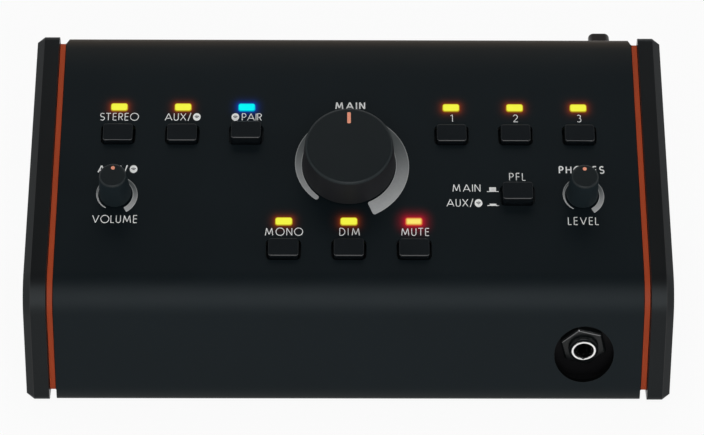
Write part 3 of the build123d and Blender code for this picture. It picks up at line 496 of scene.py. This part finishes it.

# painted light and shade: lighter knob rims and sides and lighter upper nut edges as painted highlight, painted shade
# on the cut wall round the phones socket and in dark lines beside the orange plates
facing = {      # a face's normal against a direction: 0 across it, 1 along it
    "knobSide": 0.35, "knobTop": 0.96, "holeWall": 0.3, "nutTop": 0.3,
    "capFront": -0.3, "capRound": (0.25, 0.85),
}
edgeZone = {"hole": 12 * mm, "shellRear": 3 * mm, "shellFoot": 3 * mm, "holeFoot": 1 * mm, "cheek": 0.46 * mm}
softEdge = 1        # the slot that dress gives to softened edges
# painted highlight: the knob rims, and the knob sides, which are rougher too, take lighter copies of the knob plastic
knobRimHighlight = mouldedPlastic("knob_rim_highlight", (0.0085, 0.0135, 0.0155), 0.42, specular=0.22)
mainSideLit = mouldedPlastic("main_knob_side", (0.0170, 0.0180, 0.0205), 0.62, specular=0.12)
smallSideLit = mouldedPlastic("small_knob_side", (0.0115, 0.019, 0.023), 0.62, specular=0.12)
for node, side in (("main_knob", mainSideLit), ("volume_knob", smallSideLit), ("phones_knob", smallSideLit)):
    recolour(skins[node], side, lambda face: abs(face.normal.dot(outward)) < facing["knobSide"])
    recolour(skins[node], knobRimHighlight, lambda face: facing["knobSide"] <= face.normal.dot(outward) < facing["knobTop"])
shadow = mouldedPlastic("shadow_black", (0.0014, 0.0016, 0.0018), 0.7, specular=0.04)
nutLow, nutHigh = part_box("phones_jack_nut")
holeMiddle = Vector(((nutLow[0] + nutHigh[0]) / 2, nutLow[1], (nutLow[2] + nutHigh[2]) / 2))


def nearHole(face):
    return Vector((face.center.x - holeMiddle.x, face.center.z - holeMiddle.z)).length < edgeZone["hole"]


def plainShellEdge(face):
    # a softened edge of the shell away from the hole, the rear and the foot
    return (face.material_index == softEdge and not nearHole(face)
            and face.center.y < shellHigh[1] - edgeZone["shellRear"]
            and face.center.z > shellLow[2] + edgeZone["shellFoot"])


def holeWall(face):
    return (abs(face.normal.y) < facing["holeWall"] and nearHole(face)
            and face.center.z > shellLow[2] + edgeZone["holeFoot"])


def capFront(face):
    low, high = facing["capRound"]
    return face.normal.dot(upSlope) < facing["capFront"] and low < face.normal.dot(outward) < high


recolour(skins["top_shell"], finishes["shell_paint"], plainShellEdge)
recolour(skins["top_shell"], shadow, holeWall)
# painted highlight: only the nut's upper edges keep the edging, which is glossy and also lighter in colour than the
# nut
recolour(skins["phones_jack_nut"], finishes["socket_nut_black"],
         lambda face: face.material_index == softEdge and face.normal.z < facing["nutTop"])
for node, skin in skins.items():
    if slotOf[node] == "button_black":      # only the caps' front edges are polished
        recolour(skin, finishes["button_black"], lambda face: face.material_index == softEdge)
        recolour(skin, edgings["button_black"], capFront)
# painted shade: dark lines along the orange plates' edges and on the cheeks' inner edges, where the gaps between the
# parts lie in shade
paintedGapShade = mouldedPlastic("painted_gap_shade", (0.0045, 0.0016, 0.0010), 0.7, specular=0.05)
plateShadeLines = {"inner": 0.36 * mm, "outer": 0.18 * mm, "proud": 0.12 * mm}
for side, way in (("left", -1), ("right", 1)):
    cheek = skins[side + "_cheek"]
    cheekInside = min(abs(corner[0]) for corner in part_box(side + "_cheek"))
    innerEdge = cheekInside + edgeZone["cheek"]
    recolour(cheek, paintedGapShade, lambda face: face.material_index == softEdge and abs(face.center.x) < innerEdge)
    low, high = (Vector(corner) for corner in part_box(side + "_spacer"))
    middle, size = (low + high) / 2, high - low
    for place, toward in (("inner", -way), ("outer", way)):
        width, proud = plateShadeLines[place], plateShadeLines["proud"]
        scales = (width / size.x, 1 + 2 * proud / size.y, 1 + 2 * proud / size.z, 1)
        x = middle.x + toward * (size.x - width) / 2
        fit = Matrix.Translation((x, middle.y, middle.z)) @ Matrix.Diagonal(scales) @ Matrix.Translation(-middle)
        line = copied(skins[side + "_spacer"], fit)
        line.name = side + "_" + place + "_line"
        paint(line, paintedGapShade)
        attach(line, "casing")
print("nodes dressed:", len(edges))

# thread crests on the phones socket's nose
jackLook = {
    "noseRadius": 4.85 * mm, "crests": 3, "pitch": 0.5 * mm, "height": 0.12 * mm, "segments": 72,
    "sunk": 0.1 * mm,           # of the crests' foot in the nose
    "profile": (0.15, 0.25, 0.5),       # first crest's start, its top and its end, in pitches
    "mouth": 3.28 * mm, "edge": 0.18 * mm, "slot": 0.9 * mm, "slotDepth": 0.4 * mm,
    "tines": (-0.5, -0.2, 0.2, 0.5),    # the slot's lines, across its width
    "ringInset": 0.02 * mm, "ahead": 0.03 * mm,
}
ringLow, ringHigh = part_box("phones_jack_ring")
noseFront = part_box("phones_jack")[0][1]
jackMiddle = Vector(((ringLow[0] + ringHigh[0]) / 2, noseFront, (ringLow[2] + ringHigh[2]) / 2))
ringRadius = (ringHigh[0] - ringLow[0]) / 2


def threadCrests():
    # a wavy strip spun round the nose
    mesh = bpy.data.meshes.new("jack_threads")
    crest = bmesh.new()
    nose, pitch = jackLook["noseRadius"], jackLook["pitch"]
    back = nose - jackLook["sunk"]
    first, top, end = jackLook["profile"]
    points = [(back, 0.0)]
    for n in range(jackLook["crests"]):
        start = (first + n) * pitch
        points += [(nose, start), (nose + jackLook["height"], start + top * pitch), (nose, start + end * pitch)]
    points.append((back, jackLook["crests"] * pitch))
    corners = [crest.verts.new(jackMiddle + Vector((r, depth, 0))) for r, depth in points]
    for pair in zip(corners, corners[1:] + corners[:1]):
        crest.edges.new(pair)
    crest.to_mesh(mesh)
    crest.free()
    piece = linked("jack_threads", mesh)
    activate(piece)
    bpy.ops.object.mode_set(mode="EDIT")
    bpy.ops.mesh.select_all(action="SELECT")
    bpy.ops.mesh.spin(steps=jackLook["segments"], angle=2 * pi, center=jackMiddle, axis=(0, 1, 0))
    bpy.ops.mesh.select_all(action="SELECT")
    bpy.ops.mesh.remove_doubles(threshold=mergeDistance)
    bpy.ops.mesh.normals_make_consistent(inside=False)
    bpy.ops.object.mode_set(mode="OBJECT")
    smooth(piece, angle=50)
    return newest("jack_threads")


threads = threadCrests()
paint(threads, finishes["socket_nut_black"])
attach(threads, "casing")


# lettering on the panel

def arc(x, y, rx, ry, start, end, steps=10):
    turn = [radians(start + (end - start) * n / steps) for n in range(steps + 1)]
    return [(x + rx * cos(a), y + ry * sin(a)) for a in turn]


# each letter: its width, then its strokes, in cap heights
letters = {
    "A": (0.86, [[(0, 0), (0.43, 1)], [(0.43, 1), (0.86, 0)], [(0.14, 0.3), (0.72, 0.3)]]),
    "D": (0.62, [[(0, 0), (0, 1)], [(0, 1), (0.2, 1), *arc(0.2, 0.5, 0.42, 0.5, 90, -90), (0, 0)]]),
    "E": (0.42, [[(0, 0), (0, 1)], [(0, 1), (0.42, 1)], [(0, 0.52), (0.4, 0.52)], [(0, 0), (0.42, 0)]]),
    "F": (0.38, [[(0, 0), (0, 1)], [(0, 1), (0.38, 1)], [(0, 0.5), (0.36, 0.5)]]),
    "H": (0.6, [[(0, 0), (0, 1)], [(0.6, 0), (0.6, 1)], [(0, 0.52), (0.6, 0.52)]]),
    "I": (0.0, [[(0, 0), (0, 1)]]),
    "L": (0.38, [[(0, 0), (0, 1)], [(0, 0), (0.38, 0)]]),
    "M": (1.04, [[(0.08, 0), (0.2, 1)], [(0.2, 1), (0.52, 0.12)], [(0.52, 0.12), (0.84, 1)], [(0.84, 1), (0.96, 0)]]),
    "N": (0.62, [[(0, 0), (0, 1)], [(0, 1), (0.62, 0)], [(0.62, 0), (0.62, 1)]]),
    "O": (0.94, [arc(0.47, 0.5, 0.5, 0.52, 0, 360, 24)]),
    "P": (0.46, [[(0, 0), (0, 1)], [(0, 1), (0.2, 1), *arc(0.2, 0.73, 0.26, 0.27, 90, -90), (0, 0.46)]]),
    "R": (0.48, [[(0, 0), (0, 1)], [(0, 1), (0.2, 1), *arc(0.2, 0.74, 0.26, 0.26, 90, -90), (0, 0.48)],
                 [(0.22, 0.48), (0.48, 0)]]),
    "S": (0.54, [[*arc(0.27, 0.75, 0.24, 0.25, 35, 270), *arc(0.27, 0.25, 0.26, 0.25, 90, -145)]]),
    "T": (0.6, [[(0, 1), (0.6, 1)], [(0.3, 0), (0.3, 1)]]),
    "U": (0.52, [[(0, 1), *arc(0.26, 0.27, 0.26, 0.27, 180, 360), (0.52, 1)]]),
    "V": (0.76, [[(0, 1), (0.38, 0)], [(0.38, 0), (0.76, 1)]]),
    "X": (0.7, [[(0.02, 0), (0.68, 1)], [(0.04, 1), (0.68, 0)]]),
    "/": (0.34, [[(0, -0.08), (0.34, 1.08)]]),
    "1": (0.22, [[(0.0, 0.86), (0.22, 1)], [(0.22, 1), (0.22, 0)]]),
    "2": (0.54, [[*arc(0.27, 0.72, 0.25, 0.28, 165, -35), (0.02, 0)], [(0.0, 0), (0.56, 0)]]),
    "3": (0.5, [[*arc(0.24, 0.77, 0.22, 0.23, 145, -90)], [*arc(0.24, 0.27, 0.26, 0.27, 90, -145)]]),
}
thinStroke, boldStroke = 0.31 * mm, 0.50 * mm
capHeight, boldCapHeight = 2.75 * mm, 2.60 * mm
# word: left and right end, foot below the panel's rear edge, stroke
words = [
    ("STEREO", -85.3, -72.0, 34.6, thinStroke), ("AUX/", -63.1, -54.0, 34.6, thinStroke),
    ("PAIR", -36.7, -29.8, 34.6, thinStroke), ("1", 34.7, 35.7, 34.9, thinStroke),
    ("2", 56.1, 58.1, 34.9, thinStroke), ("3", 77.9, 79.9, 34.9, thinStroke),
    ("MAIN", -4.9, 5.6, 30.0, boldStroke), ("MONO", -28.3, -15.4, 79.2, thinStroke),
    ("DIM", -3.2, 3.9, 79.2, thinStroke), ("MUTE", 17.3, 27.0, 79.2, thinStroke),
    ("VOLUME", -86.2, -71.0, 74.5, thinStroke), ("AUX/", -85.2, -74.9, 55.2, boldStroke),
    ("PHONES", 71.2, 86.8, 55.2, boldStroke), ("LEVEL", 73.6, 84.1, 74.9, thinStroke),
    ("PFL", 54.3, 60.0, 57.9, thinStroke), ("MAIN", 34.8, 44.5, 62.3, thinStroke),
    ("AUX/", 32.9, 42.0, 68.0, thinStroke),
]
inkHeight = 0.02 * mm
pairTuck = 0.3 * mm     # S and T set closer


def addLine(curve, points):
    line = curve.splines.new("POLY")
    line.points.add(len(points) - 1)
    for point, (x, y) in zip(line.points, points):
        point.co = (x, y, 0, 1)
    return line


def meshFrom(curve):
    activate(linked(curve.name, curve))
    bpy.ops.object.convert(target="MESH")
    return bpy.context.object


def strokeCurve(strokes, width, name):
    curve = bpy.data.curves.new(name, "CURVE")
    curve.dimensions = "3D"
    curve.bevel_depth = width / 2
    curve.bevel_resolution = 1
    curve.use_fill_caps = True
    for points in strokes:
        addLine(curve, points)
    return meshFrom(curve)


def printFlat(piece, matrix, thickness):
    # presses a drawn shape flat on a face: the matrix's z is the face's own direction
    flat = Matrix.Diagonal((1, 1, inkHeight / thickness, 1))
    return putInMesh(piece, matrix @ flat)


def wordStrokes(word, left, right, foot, stroke, height):
    room = right - left - stroke
    spare = room - sum(letters[c][0] for c in word) * height
    spare += pairTuck if word.startswith("ST") else 0.0
    gap = spare / (len(word) - 1) if len(word) > 1 else 0.0
    x = left + stroke / 2 + (spare / 2 if len(word) == 1 else 0.0)
    strokes = []
    for c in word:
        width, lines = letters[c]
        strokes += [[(x + px * height, -foot + stroke / 2 + py * height) for px, py in line] for line in lines]
        x += width * height + gap
        if c == "S" and word.startswith("ST"):
            x -= pairTuck
    return strokes


labelInk = printedInk("label_ink", (0.90, 0.91, 0.90))
for name, width in (("panel_words", thinStroke), ("panel_words_bold", boldStroke)):
    strokes = []
    for word, left, right, foot, stroke in words:
        if stroke == width:
            height = capHeight if stroke == thinStroke else boldCapHeight
            strokes += wordStrokes(word, left * mm, right * mm, foot * mm, stroke, height)
    printed = printFlat(strokeCurve(strokes, width, name), panelFrame, width)
    paint(printed, labelInk)
    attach(printed, "casing")
print("words printed:", len(words))

# painted shade: dark strokes in the shadow finish at the chrome ring's edges, with the contact's slot at the bottom
faceY = ringLow[1] - jackLook["ahead"]
jackFace = Matrix.Translation((jackMiddle.x, faceY, jackMiddle.z)) @ Matrix.Rotation(pi / 2, 4, "X")
mouth = [arc(0, 0, r, r, 0, 360, 64) for r in (ringRadius - jackLook["ringInset"], jackLook["mouth"])]
mouth += [[(tine * jackLook["slot"], -jackLook["mouth"]), (0, -jackLook["mouth"] - jackLook["slotDepth"])]
          for tine in jackLook["tines"]]
mouthEdge = printFlat(strokeCurve(mouth, jackLook["edge"], "jack_mouth"), jackFace, jackLook["edge"])
paint(mouthEdge, shadow)
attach(mouthEdge, "casing")
print("phones socket dressed")

# plain marks on the rear panel
rearTurn = Matrix(((-1, 0, 0), (0, 0, 1), (0, 1, 0))).to_4x4()
rearFace = Matrix.Translation((0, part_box("rear_panel")[1][1], 0)) @ rearTurn
nutsLow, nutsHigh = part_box("rear_jack_nuts")
nutWidth = nutsHigh[2] - nutsLow[2]
rearWords = {
    "pairs": ("MAIN", "1", "2", "3"), "height": 2.4 * mm, "wordHalf": 4.6 * mm,
    "sideRise": 2.0 * mm, "pairRise": 5.6 * mm,     # above the sockets' nuts
}
rearPitch = (nutsHigh[0] - nutsLow[0] - nutWidth) / (2 * len(rearWords["pairs"]) - 1)


def rearWord(word, middle, rise):
    letterHalf = letters[word[0]][0] * rearWords["height"] / 2 + thinStroke
    half = rearWords["wordHalf"] if len(word) > 1 else letterHalf
    return wordStrokes(word, middle - half, middle + half, -nutsHigh[2] - rise, thinStroke, rearWords["height"])


rearStrokes = []
for n, word in enumerate(rearWords["pairs"]):
    leftX = -nutsHigh[0] + nutWidth / 2 + 2 * n * rearPitch
    rearStrokes += rearWord("L", leftX, rearWords["sideRise"])
    rearStrokes += rearWord(word, leftX + rearPitch / 2, rearWords["pairRise"])
    rearStrokes += rearWord("R", leftX + rearPitch, rearWords["sideRise"])
rearMarks = printFlat(strokeCurve(rearStrokes, thinStroke, "rear_marks"), rearFace, thinStroke)
paint(rearMarks, labelInk)
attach(rearMarks, "casing")

# discs beside the wireless labels, with three small arcs
disc = {
    "radius": 1.38 * mm, "oval": (0.95, 1.1), "spots": ((-52.1, 33.1), (-38.9, 33.1), (-73.0, 53.7), (43.7, 66.6)),
    "reaches": (0.28, 0.52, 0.76), "drop": 0.45,    # the arcs, in the disc's radius
    "from": 45, "to": 135, "stroke": 0.22 * mm,
}
arcInk = mouldedPlastic("disc_arcs", (0.008, 0.009, 0.010))
discs, marks = [], []
for x, down in disc["spots"]:
    deselectAll()
    bpy.ops.mesh.primitive_cylinder_add(vertices=40, radius=disc["radius"], depth=inkHeight)
    place = Matrix.Translation((x * mm, -down * mm, inkHeight / 2)) @ Matrix.Diagonal((*disc["oval"], 1, 1))
    discs.append(putInMesh(newest("disc"), panelFrame @ place))
    foot = -down * mm - disc["drop"] * disc["radius"]
    strokes = []
    for share in disc["reaches"]:
        reach = share * disc["radius"]
        strokes.append(arc(x * mm, foot, reach, reach, disc["from"], disc["to"], steps=9))
    drawn = strokeCurve(strokes, disc["stroke"], "arcs")
    marks.append(printFlat(drawn, panelFrame @ Matrix.Translation((0, 0, inkHeight)), disc["stroke"]))
wirelessDiscs = joined(discs, "wireless_discs")
paint(wirelessDiscs, labelInk)
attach(wirelessDiscs, "casing")
wirelessArcs = joined(marks, "wireless_arcs")
paint(wirelessArcs, arcInk)
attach(wirelessArcs, "casing")

# in and out signs beside the cue button
signs = {"x": 48.6, "bar": 3.9, "block": 2.3, "row": 0.3, "out": (62.1, 1.5), "in": (67.5, 0.55)}    # foot, height
strokes = []
for foot, height in (signs["out"], signs["in"]):
    halfBar, halfBlock = signs["bar"] / 2 * mm, signs["block"] / 2 * mm
    y = -foot * mm
    strokes.append([(signs["x"] * mm - halfBar, y), (signs["x"] * mm + halfBar, y)])
    rows = max(2, round(height / signs["row"]))
    for n in range(1, rows + 1):
        rise = y + height * mm * n / rows
        strokes.append([(signs["x"] * mm - halfBlock, rise), (signs["x"] * mm + halfBlock, rise)])
signMarks = printFlat(strokeCurve(strokes, thinStroke, "push_signs"), panelFrame, thinStroke)
paint(signMarks, labelInk)
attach(signMarks, "casing")

# rings that widen clockwise round the knobs
smallRing = {"down": layout["sideKnobDown"], "inner": 5.85 * mm, "outerTop": 7.0 * mm, "widening": 0.0055 * mm,
             "start": -150, "end": 150, "corner": 0.2 * mm}
rings = {
    "main_ring": {"x": 0.0, "down": layout["mainKnobDown"], "inner": 16.0 * mm, "outerTop": 19.35 * mm,
                  "widening": 0.0118 * mm, "start": -142, "end": 157, "corner": 0.8 * mm},
    "volume_ring": {"x": -layout["columns"][0], **smallRing},
    "phones_ring": {"x": layout["columns"][0], **smallRing},
}


def ringPoints(ring, steps=72, cornerSteps=5):
    # clockwise over the top from start to end, angles from the top, then back along the inner edge
    def at(radius, angle):
        return (ring["x"] + radius * sin(radians(angle)), radius * cos(radians(angle)) - ring["down"])

    def outer(angle):
        return ring["outerTop"] + ring["widening"] * angle

    inner, corner = ring["inner"], ring["corner"]
    points = []
    for end, way in ((ring["start"], 1), (ring["end"], -1)):
        rounding = min(corner, (outer(end) - inner) / 2)
        turn = degrees(rounding / outer(end)) * way
        quarter = [radians(90 * n / cornerSteps) for n in range(cornerSteps + 1)]
        # from the inner edge round both corners to the outer one
        cap = [at(inner + rounding * (1 - cos(a)), end + turn * (1 - sin(a))) for a in quarter]
        cap += [at(outer(end) - rounding * (1 - sin(a)), end + turn * (1 - cos(a))) for a in quarter]
        span = [ring["start"] + (ring["end"] - ring["start"]) * n / steps for n in range(1, steps)]
        if way == 1:
            points += cap + [at(outer(a), a) for a in span]
        else:
            points += cap[::-1] + [at(inner, a) for a in reversed(span)]
    return points


def ringInk(name, ring):
    # grey print with painted light and shade: darker away from the user, paling towards the user, with a paler
    # outline
    finish = Finish(name, Roughness=0.45, Specular_IOR_Level=0.3)
    middle = panelRear + across * ring["x"] - upSlope * ring["down"]
    x = finish.along(across, middle)
    down = finish.along(-upSlope, middle)
    reach = ring["outerTop"]
    shadeRamp = finish.step(down, -0.6 * reach, 1.15 * reach)
    grain = finish.noise(900, 1.0)
    body = finish.blend(shadeRamp, (0.080, 0.092, 0.094, 1), (0.50, 0.51, 0.515, 1))
    body = finish.blend(grain * 0.12, body, (0.02, 0.02, 0.02, 1))
    radius = (x * x + down * down) ** 0.5
    angle = x.math("ARCTAN2", x, -1 * down) * (180 / pi)
    fromEdge = radius.math("MINIMUM", ring["outerTop"] + angle * ring["widening"] - radius, radius - ring["inner"])
    rim = finish.step(fromEdge, 0.35 * mm, 0.12 * mm)
    finish.drive("Base Color", finish.blend(rim * 0.35, body, (0.62, 0.63, 0.63, 1)))
    return finish


for name, ring in rings.items():
    curve = bpy.data.curves.new(name, "CURVE")
    curve.dimensions = "2D"
    curve.fill_mode = "BOTH"
    curve.extrude = inkHeight / 2
    addLine(curve, ringPoints(ring)).use_cyclic_u = True
    printed = putInMesh(meshFrom(curve), panelFrame @ Matrix.Translation((0, 0, inkHeight / 2)))
    paint(printed, ringInk(name, ring))
    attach(printed, "casing")
print("rings printed:", len(rings))

# studio
studio = {
    "floorHalf": 6.0,
    "paper": (0.82, 0.82, 0.82),
    "seenWhite": 0.93,         # share of the floor that shows as plain white
    "dome": 0.17,
    "sky": (0.75, 0.35),       # white below the second height, none above the first
}

deselectAll()
bpy.ops.mesh.primitive_plane_add(size=2 * studio["floorHalf"])
floor = newest("studio_floor")
floorPaper = Finish("floor_paper", Roughness=0.9, Specular_IOR_Level=0.1)
floorPaper.shader.inputs["Base Color"].default_value = (*studio["paper"], 1)
paper = Signal(floorPaper, floorPaper.shader.outputs[0])
plainWhite = floorPaper.node("ShaderNodeEmission", inputs={"Color": (1, 1, 1, 1)})
floorPaper.show("Material Output", floorPaper.seen() * studio["seenWhite"], paper, plainWhite)
paint(floor, floorPaper)

world = bpy.data.worlds.new("studio_air")
bpy.context.scene.world = world
world.use_nodes = True
air = Nodes(world.node_tree)
soft = air.tree.nodes["Background"]
soft.inputs["Color"].default_value = (1, 1, 1, 1)
soft.inputs["Strength"].default_value = studio["dome"]
plainSky = air.node("ShaderNodeBackground", inputs={"Color": (1, 1, 1, 1)})
direction = air.node("ShaderNodeTexCoord", output="Generated")
height = air.node("ShaderNodeSeparateXYZ", inputs={0: direction}, output="Z")
top, bottom = studio["sky"]
low = air.node("ShaderNodeMapRange", inputs={"Value": height, "From Min": top, "From Max": bottom})
air.show("World Output", air.seen() * low, Signal(air, soft.outputs[0]), plainSky)

target = Vector((0, 0, 40 * mm))       # what the lamps face
lamps = {
    "front": {"azimuth": 0, "elevation": 38, "distance": 1.3, "size": (0.9, 0.95), "power": 7.4},
    "overhead": {"azimuth": 180, "elevation": 56, "distance": 1.2, "size": (1.0, 0.6), "power": 3.2},
    "left": {"azimuth": -65, "elevation": 35, "distance": 1.3, "size": (0.5, 0.6), "power": 1.3},
    "right": {"azimuth": 65, "elevation": 35, "distance": 1.3, "size": (0.5, 0.6), "power": 1.3},
}
for name, lamp in lamps.items():
    data = bpy.data.lights.new(name, "AREA")
    data.shape = "RECTANGLE"
    data.size, data.size_y = lamp["size"]
    data.energy = lamp["power"]
    made = linked(name, data)
    side, rise = radians(lamp["azimuth"]), radians(lamp["elevation"])
    away = Vector((sin(side) * cos(rise), -cos(side) * cos(rise), sin(rise)))
    made.location = target + away * lamp["distance"]
    made.rotation_euler = away.to_track_quat("Z", "Y").to_euler()
    made.visible_camera = False

shot = {
    "lens": 142.67,
    "side": -2.6 * mm,         # from the main knob's foot
    "back": 739.6 * mm,
    "up": 592.4 * mm,
    "elevation": 39.78,
    "roll": 0.55,
    "turn": -0.68,
    "shiftX": -0.0207,
}
cameraData = bpy.data.cameras.new("camera")
cameraData.lens = shot["lens"]
cameraData.sensor_width = 36.0
cameraData.shift_x = shot["shiftX"]
cameraData.clip_end = 50
camera = linked("camera", cameraData)
camera.location = knobFoot + Vector((shot["side"], -shot["back"], shot["up"]))
aim = Matrix.Rotation(radians(shot["turn"]), 4, "Z") @ Matrix.Rotation(radians(90 - shot["elevation"]), 4, "X")
camera.rotation_euler = (aim @ Matrix.Rotation(radians(shot["roll"]), 4, "Z")).to_euler()
bpy.context.scene.camera = camera
bpy.context.scene.view_settings.view_transform = "Standard"
print("studio set")

bpy.context.view_layer.update()
